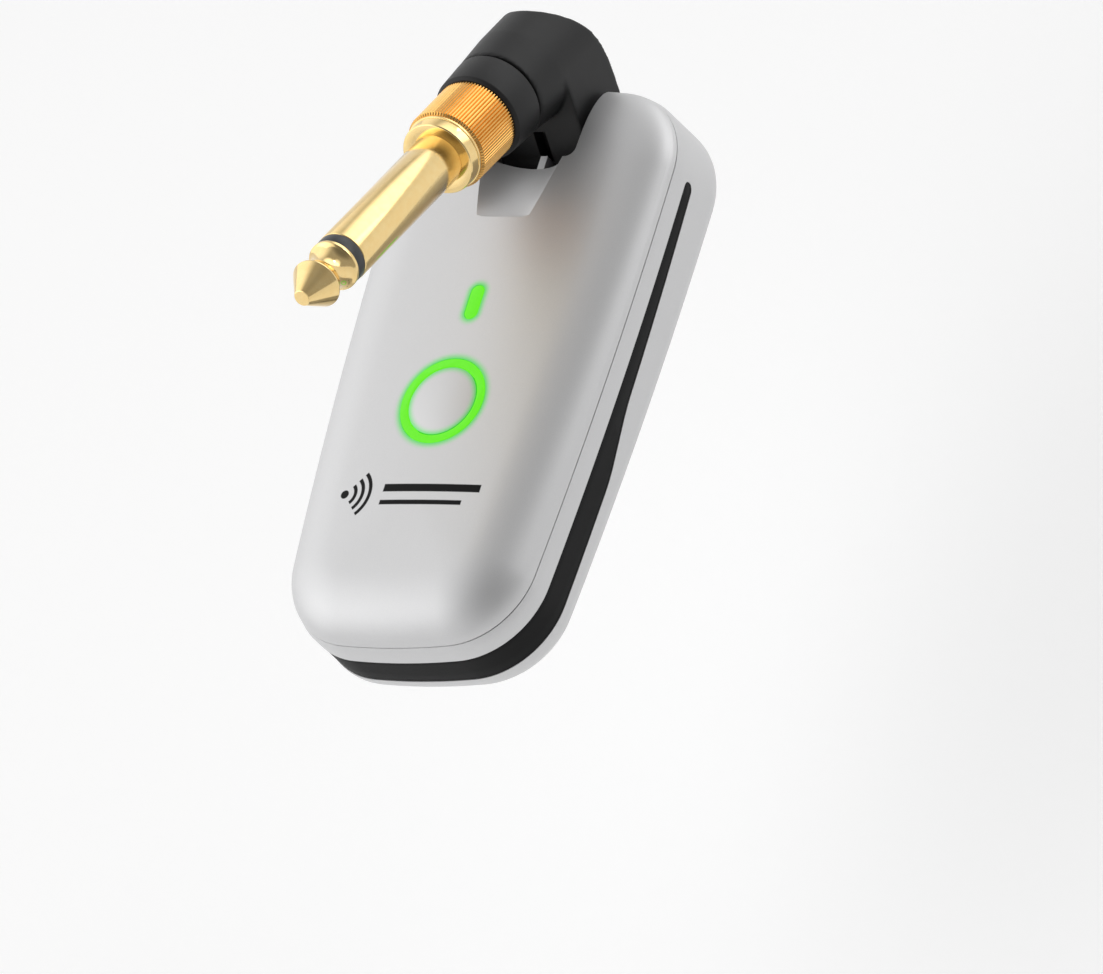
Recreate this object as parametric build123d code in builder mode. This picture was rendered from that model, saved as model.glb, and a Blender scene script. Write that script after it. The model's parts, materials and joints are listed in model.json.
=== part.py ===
from build123d import *
from math import cos, radians, sin
import os

# A clip-on wireless transmitter for a guitar. A flat silver body with a domed front cover and a
# rear housing holds the battery, the board and the button; a quarter-inch plug turns on a hinge
# in a notch between two ears at the body's top end.
# Millimetres. The body lies on its back: +Z is out of the front face, +Y points to the hinge end,
# and the origin is the middle of the flat on the back.

os.makedirs("parts", exist_ok=True)

# ---------------------------------------------------------------- driving dimensions

# casing
body_length = 72.8
body_thickness = 18.2
bottom_half_width = 16.0
top_half_width = 18.95
side_bow = 1.0
end_bow = 1.5
corner_radius = 10.3
front_dome_run = 8.0
front_dome_rise = 5.0
rear_dome_run = 8.0
rear_dome_rise = 5.2
dome_steps = 5
wall = 1.8
inner_dome_run = 6.5
lip_gap = 0.3
lip_thickness = 0.8
lip_height = 1.2
reveal = 0.3
rear_draft_bottom = 0.3
rear_draft_top = 1.5
rear_reach = 1.4
seam_height = 13.54
seam_tilt = 1.8
bevel_height = 1.2
fit_gap = 0.1
slide_gap = 0.12

# notch and hinge
notch_width = 13.8
notch_corner = 1.2
barrel_radius = 4.9
barrel_gap = 0.4
barrel_side_gap = 0.4
hinge_y = 31.0
hinge_z = 9.6
ear_wall = 1.5
rib_width = 0.95
rib_reach = 2.2
rib_top = 14.2
rib_bottom = 9.55
rib_gap = 0.35
rib_slot_rise = 5.4
rib_slot_depth = 1.6
rib_slot_radius = 2.7

# scoop that clears the plug's elbow when it is folded down
scoop_length = 7.84
scoop_start_half_width = 3.8
scoop_start_depth = 0.02
scoop_end_half_width = 5.6
scoop_depth = 3.2

# button, its lit ring and the lit bar
button_y = -6.7
ring_radius = 5.53
ring_width = 0.99
button_travel = 0.4
button_round = 0.2
switch_stem_rise = 0.5
ring_depth = 3.0
ring_flange = 1.0
flange_height = 0.8
button_skirt = 0.78
button_skirt_height = 0.8
stem_radius = 1.2
bar_y = 6.33
bar_width = 1.75
bar_length = 4.4

# side trim
trim_depth = 0.8
trim_recess = 0.08
trim_front_drop = 2.8
trim_slim = 1.9
trim_middle = 2.7
trim_broad = 4.25
trim_top_y = 26.4
trim_step_top_y = -1.7
trim_step_bottom_y = -10.2
trim_corner = 0.8
trim_bend = 3.0

# electronics
board_top = 12.0
board_thickness = 1.0
board_half_width = 12.5
board_bottom_y = -30.5
board_corner = 5.0
board_end_gap = 0.5
boss_radius = 2.1
boss_x = 9.3
boss_low_y = -26.6
boss_high_y = 14.5
screw_radius = 0.75
screw_head_radius = 1.5
screw_head_height = 0.9
screw_head_round = 0.3
screw_length = 5.5
switch_size = 4.2
switch_corner = 0.4
switch_height = 1.1
switch_stem_radius = 0.9
led_length = 1.6
led_width = 0.8
led_height = 0.5
ring_led_count = 6
shield_width = 11.0
shield_length = 8.8
shield_corner = 0.6
shield_height = 1.7
shield_wall = 0.2
shield_y = -21.0
antenna_length = 8.0
antenna_width = 2.0
antenna_height = 1.2
antenna_y = -28.6
chip_y = 19.0
chip_size = 5.0
chip_height = 0.9
chip_left_x = -6.0
chip_right_x = 4.0
battery_length = 34.0
battery_width = 15.6
battery_thickness = 6.2
battery_y = -6.5
battery_edge = 1.5
pad_thickness = 1.4
pad_width = 12.5
pad_length = 27.2
port_y = 22.1
port_width = 8.94
port_height = 3.2
port_wall = 0.3
port_corner_small = 0.9
port_corner_large = 1.55
port_corner_inner = 1.25
port_sink = 1.0
tongue_sink = 1.2
tongue_base = 2.0
tongue_width = 6.7
tongue_thickness = 0.7

# plug
plug_tilt = 60.0
arm_length = 13.0
plug_offset = 24.0
sleeve_radius = 3.175
sleeve_length = 22.5
tail_length = 18.0
tail_radius = 2.9
insulator_length = 1.5
tip_length = 7.8
tip_flange = 0.65
tip_step = 0.25
tip_waist_radius = 2.1
tip_waist_end = 28.3
tip_shoulder_radius = 3.04
tip_flat_radius = 0.96
rod_end = 26.0
rod_overhang = 2.0
tube_overhang = 0.8
nut_radius = 3.9
nut_thickness = 2.0
rod_radius = 1.2
tube_radius = 2.0
washer_radius = 4.57
washer_length = 1.87
washer_chamfer = 0.15
collar_radius = 5.05
collar_length = 7.29
knurl_count = 84
knurl_depth = 0.16
knurl_cut = 0.224
washer_step = 0.35
nose_chamfer = 0.35
nose_front_radius = 5.5
nose_rear_radius = 5.72
nose_length = 5.04
groove_width = 0.3
elbow_radius = 6.0
elbow_flare = 4.8
elbow_wall = 1.5
nut_space_radius = 4.2
nut_space_length = 4.3
channel_radius = 1.5
arm_front = 4.6
arm_back = 4.5
back_curve_radius = 15.0
back_curve_start = -5.0
elbow_round = 0.8
rim_zone = 1.0
pin_radius = 1.9
pin_bore = 1.1
pin_start = 3.1
pin_end = 11.3
pin_chamfer = 0.25
bush_radius = 2.6
bush_flange_radius = 3.0
bush_gap = 0.1
bush_flange = 0.9
washer_thickness = 0.6
clip_thickness = 0.5
clip_radius = 2.7
clip_groove = 0.35
clip_opening = 2.4
lead_radius = 0.6
lead_bend = 1.2
lead_out = 2.2
lead_board_x = 10.6
lead_board_y = 21.5

# ---------------------------------------------------------------- values worked out from them

half_length = body_length / 2
notch_floor_y = hinge_y - barrel_radius - barrel_gap
half_notch = notch_width / 2
barrel_half = half_notch - barrel_side_gap
front = body_thickness
plug_dir = Vector(0, -sin(radians(plug_tilt)), cos(radians(plug_tilt)))
arm_dir = Vector(0, cos(radians(plug_tilt)), sin(radians(plug_tilt)))
hinge_point = Vector(0, hinge_y, hinge_z)
shoulder = hinge_point + arm_dir * arm_length + plug_dir * plug_offset
# Side view of the plug: local x runs from the shoulder to the tip, local y up the arm.
plug_side = Plane(origin=shoulder, x_dir=plug_dir, z_dir=(-1, 0, 0))
plug_axis = Axis(shoulder, plug_dir)
hinge_u = -plug_offset
hinge_v = -arm_length
groove_u = -washer_length - collar_length - nose_length
tail_bore = tail_radius + fit_gap / 2
board_bottom = board_top - board_thickness
cover_wall_at_seam = wall + lip_gap + lip_thickness
inner_front = front - wall
button_radius = ring_radius - ring_width - slide_gap
button_bottom = front - ring_depth - slide_gap - button_skirt_height


# ---------------------------------------------------------------- shared shapes

def tilted_plane(height, tilt):
    """A level plane at a height, tipped up towards the hinge end."""
    return Plane(
        origin=(0, 0, height), x_dir=(1, 0, 0),
        z_dir=(0, -sin(radians(tilt)), cos(radians(tilt))),
    )


seam_plane = tilted_plane(seam_height, seam_tilt)


def body_outline(plane, inset, is_rear=False):
    """The body's outline on a plane, pulled in by inset. The rear one is narrower and longer."""
    bottom = inset - half_length
    top = half_length - inset
    low = bottom_half_width - inset
    high = top_half_width - inset
    if is_rear:
        low -= rear_draft_bottom
        high -= rear_draft_top
        top += rear_reach
    middle = (low + high) / 2 + side_bow
    low_corner = bottom + end_bow
    high_corner = top - end_bow
    with BuildSketch(plane) as outline:
        with BuildLine():
            ThreePointArc((-low, low_corner), (0, bottom), (low, low_corner))
            ThreePointArc((low, low_corner), (middle, 0), (high, high_corner))
            ThreePointArc((high, high_corner), (0, top), (-high, high_corner))
            ThreePointArc((-high, high_corner), (-middle, 0), (-low, low_corner))
        make_face()
        fillet(outline.vertices(), corner_radius - inset)
    return outline.sketch


def dome(base, base_tilt, top, inset, run, is_rear=False):
    """A dome from a base plane to a level face, its edge a quarter ellipse."""
    with BuildPart() as cap:
        for step in range(dome_steps + 1):
            angle = radians(90) * step / dome_steps
            plane = tilted_plane(base + (top - base) * sin(angle), base_tilt * (1 - sin(angle)))
            add(body_outline(plane, inset + run * (1 - cos(angle)), is_rear))
        loft()
    return cap.part


def housing_block(inset, bottom, run):
    """What lies behind the seam, as a block with its side walls pulled in by inset."""
    with BuildPart() as block:
        add(dome(rear_dome_rise, 0, bottom, inset, run, is_rear=True))
        add(body_outline(Plane.XY.offset(rear_dome_rise), inset, is_rear=True))
        add(body_outline(seam_plane, inset))
        loft()
    return block.part


def notch_block(wall_around):
    """The notch between the ears, or the notch with its walls."""
    low = notch_floor_y - wall_around
    high = half_length + corner_radius
    with BuildPart() as block:
        with BuildSketch(Plane.XY.offset(-1)):
            with Locations((0, (low + high) / 2)):
                Rectangle(notch_width + 2 * wall_around, high - low)
        extrude(amount=front + 2)
        floor_edges = block.edges().filter_by(Axis.Z).group_by(Axis.Y)[0]
        fillet(floor_edges, notch_corner + wall_around)
    return block.part


def trim_side_view(grow):
    """The trim's shape seen from the side, right across the body."""
    rise = sin(radians(seam_tilt))
    edge = seam_height - trim_front_drop
    past_end = -half_length - 2
    with BuildPart() as block:
        with BuildSketch(Plane.YZ) as view:
            with BuildLine():
                Polyline(
                    (past_end, edge + past_end * rise),
                    (trim_top_y, edge + trim_top_y * rise),
                    (trim_top_y, edge + trim_top_y * rise - trim_slim),
                    (trim_step_top_y, edge + trim_step_top_y * rise - trim_middle),
                    (trim_step_bottom_y, edge + trim_step_bottom_y * rise - trim_broad),
                    (past_end, edge + past_end * rise - trim_broad),
                    close=True,
                )
            make_face()
            corners = view.vertices().sort_by(Axis.Y)
            fillet(corners[-2:], trim_corner)
            bends = view.vertices().filter_by_position(
                Axis.Y, trim_step_bottom_y - 1, trim_step_top_y + 1
            )
            fillet(bends, trim_bend)
            if grow > 0:
                offset(amount=grow)
        extrude(amount=top_half_width + side_bow + 1, both=True)
    return block.part


def trim_ring(outer_inset, inner_inset, grow):
    """A strip of the side wall, from one depth to another, cut to the trim's shape."""
    with BuildPart() as ring:
        for inset, mode in ((outer_inset, Mode.ADD), (inner_inset, Mode.SUBTRACT)):
            with BuildPart(mode=Mode.PRIVATE) as layer:
                add(body_outline(Plane.XY.offset(rear_dome_rise), inset, is_rear=True))
                add(body_outline(seam_plane, inset))
                loft()
            add(layer, mode=mode)
        add(trim_side_view(grow), mode=Mode.INTERSECT)
    return ring.part


def round_profile(points):
    """A turned piece on the plug's axis, from its half profile of (along, radius) points."""
    with BuildPart() as piece:
        with BuildSketch(plug_side):
            with BuildLine():
                Polyline(*points, close=True)
            make_face()
        revolve(axis=plug_axis)
    return piece.part


def save(name, part):
    part.label = name
    export_step(part, f"parts/{name}.step")


notch = notch_block(0)
notch_with_walls = notch_block(ear_wall)

# ---------------------------------------------------------------- scoop in the front face

with BuildPart() as scoop:
    for y, half_width, depth in (
        (notch_floor_y - scoop_length, scoop_start_half_width, scoop_start_depth),
        (notch_floor_y, scoop_end_half_width, scoop_depth),
    ):
        with BuildSketch(Plane(origin=(0, y, front), x_dir=(1, 0, 0), z_dir=(0, -1, 0))):
            with BuildLine():
                ThreePointArc((-half_width, 0), (0, -depth), (half_width, 0))
                Polyline((half_width, 0), (half_width, 1), (-half_width, 1), (-half_width, 0))
            make_face()
    loft(ruled=True)

# ---------------------------------------------------------------- front cover

front_dome = dome(seam_height, seam_tilt, front, reveal, front_dome_run)
scoop_block_half_width = half_notch + ear_wall

with BuildPart() as lip:
    with BuildSketch(seam_plane):
        add(body_outline(Plane.XY, wall + lip_gap))
        add(body_outline(Plane.XY, cover_wall_at_seam), mode=Mode.SUBTRACT)
    extrude(amount=-lip_height)
    add(notch_block(ear_wall + lip_gap), mode=Mode.SUBTRACT)

with BuildPart() as cover_space:
    add(dome(seam_height, seam_tilt, inner_front, cover_wall_at_seam, inner_dome_run))
    add(notch_with_walls, mode=Mode.SUBTRACT)
    # The wall stays solid behind the scoop.
    with BuildSketch(Plane.XY):
        with Locations((0, notch_floor_y)):
            Rectangle(2 * scoop_block_half_width, 2 * (scoop_length + wall))
    extrude(amount=front, mode=Mode.SUBTRACT)

with BuildPart() as front_cover:
    add(front_dome)
    add(cover_space, mode=Mode.SUBTRACT)
    add(lip)
    add(notch, mode=Mode.SUBTRACT)
    add(scoop, mode=Mode.SUBTRACT)
    with BuildSketch(Plane.XY.offset(front)):
        with Locations((0, button_y)):
            Circle(ring_radius + fit_gap / 2)
        with Locations((0, bar_y)):
            SlotOverall(bar_length + fit_gap, bar_width + fit_gap, rotation=90)
    extrude(amount=-2 * wall, mode=Mode.SUBTRACT)
save("front_cover", front_cover.part)

# ---------------------------------------------------------------- rear housing

# The bevel leaves the wall at bevel_height below the seam; its slope is carried on past the wall.
with BuildPart() as rim_bevel:
    low_plane = tilted_plane(seam_height - 3 * bevel_height, seam_tilt)
    with BuildSketch(low_plane):
        add(body_outline(Plane.XY, -2 * reveal))
    with BuildSketch(seam_plane):
        add(body_outline(Plane.XY, reveal))
    loft()
    with BuildSketch(low_plane):
        add(body_outline(Plane.XY, -2 * reveal - rear_reach))
    extrude(amount=-front)

with BuildPart() as housing_space:
    add(housing_block(wall, wall, front_dome_run - wall / 2))
    add(notch_with_walls, mode=Mode.SUBTRACT)

with BuildPart() as port_hole:
    with BuildSketch(Plane.XY) as opening:
        with Locations((0, port_y)):
            Rectangle(port_width + 2 * fit_gap, port_height + 2 * fit_gap)
        corners = opening.vertices().group_by(Axis.Y)
        fillet(corners[-1], port_corner_small)
        corners = opening.vertices().group_by(Axis.Y)
        fillet(corners[0], port_corner_large)
    extrude(amount=wall + 1, both=True)

with BuildPart() as rear_housing:
    add(housing_block(0, 0, rear_dome_run))
    add(rim_bevel, mode=Mode.INTERSECT)
    add(housing_space, mode=Mode.SUBTRACT)
    add(notch, mode=Mode.SUBTRACT)
    add(port_hole, mode=Mode.SUBTRACT)
    add(trim_ring(-1, trim_depth + fit_gap / 2, fit_gap / 2), mode=Mode.SUBTRACT)
    # Bosses that carry the board.
    with BuildSketch(Plane.XY.offset(wall / 2)):
        for y in (boss_low_y, boss_high_y):
            with Locations((-boss_x, y), (boss_x, y)):
                Circle(boss_radius)
    extrude(amount=board_bottom - wall / 2)
    with BuildSketch(Plane.XY.offset(board_bottom)):
        for y in (boss_low_y, boss_high_y):
            with Locations((-boss_x, y), (boss_x, y)):
                Circle(screw_radius)
    extrude(amount=-screw_length, mode=Mode.SUBTRACT)
    # The rib on the notch floor that keys the hinge barrel.
    with Locations((0, notch_floor_y - ear_wall / 2, rib_bottom)):
        Box(rib_width, rib_reach + ear_wall / 2, rib_top - rib_bottom,
            align=(Align.CENTER, Align.MIN, Align.MIN))
    # Holes for the hinge bushes in the ears.
    with Locations(hinge_point):
        Cylinder(bush_radius + fit_gap / 2, 2 * (half_notch + ear_wall + 1), rotation=(0, 90, 0),
                 mode=Mode.SUBTRACT)
save("rear_housing", rear_housing.part)

# ---------------------------------------------------------------- side trim

save("side_trim", trim_ring(trim_recess, trim_depth, 0))

# ---------------------------------------------------------------- button, lit ring, lit bar

with BuildPart() as ring_light:
    with BuildSketch(Plane.XY.offset(front)):
        with Locations((0, button_y)):
            Circle(ring_radius)
            Circle(ring_radius - ring_width, mode=Mode.SUBTRACT)
    extrude(amount=-ring_depth)
    with BuildSketch(Plane.XY.offset(inner_front)):
        with Locations((0, button_y)):
            Circle(ring_radius + ring_flange)
            Circle(ring_radius - ring_width, mode=Mode.SUBTRACT)
    extrude(amount=-flange_height)
save("ring_light_guide", ring_light.part)

with BuildPart() as bar_light:
    with BuildSketch(Plane.XY.offset(front)):
        with Locations((0, bar_y)):
            SlotOverall(bar_length, bar_width, rotation=90)
    extrude(amount=-wall)
    with BuildSketch(Plane.XY.offset(inner_front)):
        with Locations((0, bar_y)):
            SlotOverall(bar_length + ring_flange, bar_width + ring_flange, rotation=90)
    extrude(amount=-flange_height)
save("bar_light_lens", bar_light.part)

with BuildPart() as button:
    with BuildSketch(Plane.XY.offset(front)):
        with Locations((0, button_y)):
            Circle(button_radius)
    extrude(amount=button_bottom - front)
    with BuildSketch(Plane.XY.offset(button_bottom)):
        with Locations((0, button_y)):
            Circle(button_radius + button_skirt)
    extrude(amount=button_skirt_height)
    fillet(button.faces().sort_by(Axis.Z)[-1].edges(), button_round)
    with BuildSketch(Plane.XY.offset(button_bottom)):
        with Locations((0, button_y)):
            Circle(stem_radius)
    extrude(amount=board_top + switch_height + switch_stem_rise - button_bottom)
save("power_button", button.part)

# ---------------------------------------------------------------- board and what it carries

with BuildPart() as board:
    board_top_y = notch_floor_y - ear_wall - board_end_gap
    with BuildSketch(Plane.XY.offset(board_bottom)):
        with Locations((0, (board_top_y + board_bottom_y) / 2)):
            RectangleRounded(2 * board_half_width, board_top_y - board_bottom_y, board_corner)
        for y in (boss_low_y, boss_high_y):
            with Locations((-boss_x, y), (boss_x, y)):
                Circle(screw_radius + fit_gap, mode=Mode.SUBTRACT)
    extrude(amount=board_thickness)
save("main_board", board.part)

with BuildPart() as board_screws:
    for y in (boss_low_y, boss_high_y):
        with BuildSketch(Plane.XY.offset(board_top)):
            with Locations((-boss_x, y), (boss_x, y)):
                Circle(screw_head_radius)
        extrude(amount=screw_head_height)
        with BuildSketch(Plane.XY.offset(board_top)):
            with Locations((-boss_x, y), (boss_x, y)):
                Circle(screw_radius)
        extrude(amount=-screw_length)
    fillet(board_screws.faces().sort_by(Axis.Z)[-4:].edges(), screw_head_round)
save("board_screws", board_screws.part)

with BuildPart() as tact_switch:
    with BuildSketch(Plane.XY.offset(board_top)):
        with Locations((0, button_y)):
            RectangleRounded(switch_size, switch_size, switch_corner)
            Circle(switch_stem_radius + fit_gap, mode=Mode.SUBTRACT)
    extrude(amount=switch_height)
save("tact_switch_body", tact_switch.part)

with BuildPart() as switch_stem:
    with BuildSketch(Plane.XY.offset(board_top + button_travel + fit_gap)):
        with Locations((0, button_y)):
            Circle(switch_stem_radius)
    extrude(amount=switch_height + switch_stem_rise - button_travel - fit_gap)
save("tact_switch_stem", switch_stem.part)

with BuildPart() as leds:
    with BuildSketch(Plane.XY.offset(board_top)):
        with Locations((0, button_y)):
            with PolarLocations(ring_radius - ring_width / 2, ring_led_count, start_angle=30):
                Rectangle(led_width, led_length)
        with Locations((0, bar_y)):
            Rectangle(led_width, led_length)
    extrude(amount=led_height)
save("status_leds", leds.part)

with BuildPart() as shield:
    with Locations((0, shield_y, board_top)):
        Box(shield_width, shield_length, shield_height,
            align=(Align.CENTER, Align.CENTER, Align.MIN))
        fillet(shield.edges().filter_by(Axis.Z), shield_corner)
        Box(shield_width - 2 * shield_wall, shield_length - 2 * shield_wall,
            shield_height - shield_wall, align=(Align.CENTER, Align.CENTER, Align.MIN),
            mode=Mode.SUBTRACT)
save("radio_shield", shield.part)

with BuildPart() as antenna:
    with Locations((0, antenna_y, board_top)):
        Box(antenna_length, antenna_width, antenna_height,
            align=(Align.CENTER, Align.CENTER, Align.MIN))
save("chip_antenna", antenna.part)

with BuildPart() as chips:
    with Locations((chip_left_x, chip_y, board_top), (chip_right_x, chip_y, board_top)):
        Box(chip_size, chip_size, chip_height, align=(Align.CENTER, Align.CENTER, Align.MIN))
save("audio_chips", chips.part)

with BuildPart() as port_shell:
    for width, height, corner, mode in (
        (port_width, port_height, port_corner_large, Mode.ADD),
        (port_width - 2 * port_wall, port_height - 2 * port_wall, port_corner_inner, Mode.SUBTRACT),
    ):
        with BuildSketch(Plane.XY.offset(port_sink)):
            with Locations((0, port_y)):
                RectangleRounded(width, height, corner)
        extrude(amount=board_bottom - port_sink, mode=mode)
save("charging_port_shell", port_shell.part)

with BuildPart() as tongue:
    with BuildSketch(Plane.XY.offset(board_bottom)):
        with Locations((0, port_y)):
            RectangleRounded(port_width - 2 * port_wall, port_height - 2 * port_wall,
                             port_corner_inner)
    extrude(amount=-tongue_base)
    with BuildSketch(Plane.XY.offset(board_bottom)):
        with Locations((0, port_y)):
            Rectangle(tongue_width, tongue_thickness)
    extrude(amount=port_sink + tongue_sink - board_bottom)
save("charging_port_tongue", tongue.part)

with BuildPart() as battery:
    with Locations((0, battery_y, wall + pad_thickness)):
        Box(battery_width, battery_length, battery_thickness,
            align=(Align.CENTER, Align.CENTER, Align.MIN))
    fillet(battery.edges().filter_by(Axis.Y), battery_edge)
save("battery_cell", battery.part)

with BuildPart() as battery_pad:
    with Locations((0, battery_y, wall)):
        Box(pad_width, pad_length, pad_thickness,
            align=(Align.CENTER, Align.CENTER, Align.MIN))
save("battery_foam_pad", battery_pad.part)

# ---------------------------------------------------------------- hinge hardware in the ears

for side, name in ((-1, "left"), (1, "right")):
    wall_outer = half_notch + ear_wall
    washer_start = wall_outer + bush_flange
    clip_start = washer_start + washer_thickness + fit_gap / 2
    outward = Plane(origin=hinge_point, x_dir=(0, 1, 0), z_dir=(side, 0, 0))

    with BuildPart() as bush:
        with BuildSketch(outward.offset(half_notch)):
            Circle(bush_radius)
            Circle(pin_radius + bush_gap, mode=Mode.SUBTRACT)
        extrude(amount=ear_wall)
        with BuildSketch(outward.offset(wall_outer)):
            Circle(bush_flange_radius)
            Circle(pin_radius + bush_gap, mode=Mode.SUBTRACT)
        extrude(amount=bush_flange)
    save(f"hinge_bush_{name}", bush.part)

    with BuildPart() as pin:
        with BuildSketch(outward.offset(pin_start)):
            Circle(pin_radius)
            Circle(pin_bore, mode=Mode.SUBTRACT)
        extrude(amount=pin_end - pin_start)
        outer_end = pin.faces().sort_by(Axis.X)[-1 if side > 0 else 0]
        chamfer(outer_end.edges().sort_by(SortBy.LENGTH)[-1], pin_chamfer)
        with BuildSketch(outward.offset(clip_start)):
            Circle(pin_radius + 1)
            Circle(pin_radius - clip_groove, mode=Mode.SUBTRACT)
        extrude(amount=clip_thickness, mode=Mode.SUBTRACT)
    save(f"hinge_pin_{name}", pin.part)

    with BuildPart() as washer:
        with BuildSketch(outward.offset(washer_start + fit_gap / 2)):
            Circle(bush_flange_radius)
            Circle(pin_radius, mode=Mode.SUBTRACT)
        extrude(amount=washer_thickness)
    save(f"friction_washer_{name}", washer.part)

    with BuildPart() as clip:
        with BuildSketch(outward.offset(clip_start)):
            Circle(clip_radius)
            Circle(pin_radius - clip_groove, mode=Mode.SUBTRACT)
            with Locations((clip_radius, 0)):
                Rectangle(2 * clip_radius, clip_opening, mode=Mode.SUBTRACT)
        extrude(amount=clip_thickness)
    save(f"retaining_clip_{name}", clip.part)

# ---------------------------------------------------------------- plug elbow

arm_front_u = hinge_u + arm_front
arm_back_u = hinge_u - arm_back

with BuildPart() as plug_elbow:
    # The drum behind the nose ring, and the flat arm below it.
    with BuildSketch(plug_side):
        with BuildLine():
            Polyline((arm_back_u, 0), (groove_u, 0), (groove_u, nose_rear_radius),
                     (groove_u - elbow_flare, elbow_radius), (arm_back_u, elbow_radius), close=True)
        make_face()
    revolve(axis=plug_axis)
    with BuildSketch(plug_side):
        with BuildLine():
            Polyline((arm_back_u, 0), (arm_back_u, hinge_v), (arm_front_u, hinge_v),
                     (arm_front_u, 0), close=True)
        make_face()
    extrude(amount=elbow_radius, both=True)
    # The back of the drum curves over to the top.
    with BuildSketch(plug_side):
        with Locations((arm_back_u + back_curve_radius, back_curve_start)):
            Circle(back_curve_radius)
            Rectangle(2 * back_curve_radius, 2 * back_curve_radius,
                      align=(Align.CENTER, Align.MAX))
    extrude(amount=2 * elbow_radius, both=True, mode=Mode.INTERSECT)
    rim = (
        plug_elbow.edges()
        .filter_by(lambda edge: plug_side.to_local_coords(edge.center()).X < hinge_u - rim_zone)
        .filter_by(lambda edge: abs(edge.center().X) > rim_zone or
                   plug_side.to_local_coords(edge.center()).Y > elbow_radius / 2)
        .filter_by(lambda edge: plug_side.to_local_coords(edge.center()).Y > hinge_v + 1)
    )
    fillet(rim, elbow_round)
    with BuildSketch(Plane.YZ.offset(-barrel_half)):
        with Locations((hinge_y, hinge_z)):
            Circle(barrel_radius)
    extrude(amount=2 * barrel_half)
    # Room for the plug's tail, its nut and the lead, down to the hinge.
    with BuildSketch(plug_side):
        with BuildLine():
            Polyline(
                (groove_u, 0), (groove_u, tail_radius + fit_gap / 2),
                (groove_u - elbow_wall, tail_radius + fit_gap / 2),
                (groove_u - elbow_wall, nut_space_radius),
                (groove_u - elbow_wall - nut_space_length, nut_space_radius),
                (hinge_u, channel_radius), (hinge_u - channel_radius, 0), close=True,
            )
        make_face()
    revolve(axis=plug_axis, mode=Mode.SUBTRACT)
    channel_plane = Plane(origin=plug_side.from_local_coords(Vector(hinge_u, hinge_v)),
                          x_dir=(1, 0, 0), z_dir=arm_dir)
    with BuildSketch(channel_plane):
        Circle(channel_radius)
    extrude(amount=arm_length, mode=Mode.SUBTRACT)
    with BuildSketch(Plane.YZ.offset(-barrel_half)):
        with Locations((hinge_y, hinge_z)):
            Circle(pin_radius)
    extrude(amount=2 * barrel_half, mode=Mode.SUBTRACT)
    # The slot that runs round the barrel and up the front of the arm, clear of the notch's rib.
    with BuildSketch(plug_side):
        with Locations((hinge_u, hinge_v)):
            Circle(2 * barrel_radius)
            Circle(rib_slot_radius, mode=Mode.SUBTRACT)
        with Locations((hinge_u, hinge_v + rib_gap)):
            Rectangle(5 * barrel_radius, 3 * barrel_radius, align=(Align.CENTER, Align.MIN),
                      mode=Mode.SUBTRACT)
    extrude(amount=rib_width / 2 + rib_gap, both=True, mode=Mode.SUBTRACT)
    with BuildSketch(plug_side):
        with Locations((arm_front_u - rib_slot_depth, hinge_v)):
            Rectangle(2 * barrel_radius, rib_slot_rise, align=(Align.MIN, Align.MIN))
    extrude(amount=rib_width / 2 + rib_gap, both=True, mode=Mode.SUBTRACT)
save("plug_elbow", plug_elbow.part)

# ---------------------------------------------------------------- turned parts of the plug

collar_u = -washer_length - collar_length
nose = round_profile([
    (collar_u, tail_bore), (collar_u, nose_front_radius - nose_chamfer),
    (collar_u - nose_chamfer, nose_front_radius), (groove_u + groove_width, nose_rear_radius),
    (groove_u + groove_width, nose_rear_radius - groove_width),
    (groove_u, nose_rear_radius - groove_width), (groove_u, tail_bore),
])
save("elbow_nose_ring", nose)

with BuildPart() as collar:
    with BuildSketch(Plane(origin=plug_side.from_local_coords(Vector(collar_u, 0)),
                           x_dir=(1, 0, 0), z_dir=plug_dir)):
        Circle(collar_radius)
        with PolarLocations(collar_radius, knurl_count):
            Rectangle(knurl_cut, knurl_cut, rotation=45, mode=Mode.SUBTRACT)
        Circle(tail_bore, mode=Mode.SUBTRACT)
    extrude(amount=collar_length)
save("knurled_collar", collar.part)

save("shoulder_washer", round_profile([
    (-washer_length, tail_bore), (-washer_length, collar_radius - 2 * knurl_depth),
    (-washer_length + washer_step, collar_radius - 2 * knurl_depth),
    (-washer_length + washer_step, washer_radius), (-washer_chamfer, washer_radius),
    (0, washer_radius - washer_chamfer), (0, tail_bore),
]))

save("plug_sleeve", round_profile([
    (-tail_length, tube_radius), (-tail_length, tail_radius), (0, tail_radius),
    (0, sleeve_radius), (sleeve_length, sleeve_radius), (sleeve_length, tube_radius),
]))

save("plug_insulator_ring", round_profile([
    (sleeve_length, rod_radius), (sleeve_length, sleeve_radius),
    (sleeve_length + insulator_length, sleeve_radius),
    (sleeve_length + insulator_length, rod_radius),
]))

tip_start = sleeve_length + insulator_length
tip_end = tip_start + tip_length
with BuildPart() as tip:
    with BuildSketch(plug_side):
        with BuildLine():
            Polyline((tip_waist_end, tip_shoulder_radius), (tip_end, tip_flat_radius), (tip_end, 0),
                     (rod_end, 0), (rod_end, rod_radius), (tip_start, rod_radius),
                     (tip_start, sleeve_radius), (tip_start + tip_flange, sleeve_radius),
                     (tip_start + tip_flange, sleeve_radius - tip_step))
            ThreePointArc((tip_start + tip_flange, sleeve_radius - tip_step),
                          ((tip_start + tip_flange + tip_waist_end) / 2, tip_waist_radius),
                          (tip_waist_end, tip_shoulder_radius))
        make_face()
    revolve(axis=plug_axis)
save("plug_tip", tip.part)

save("tip_rod", round_profile([
    (-tail_length - rod_overhang, 0), (-tail_length - rod_overhang, rod_radius),
    (rod_end, rod_radius), (rod_end, 0),
]))

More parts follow.
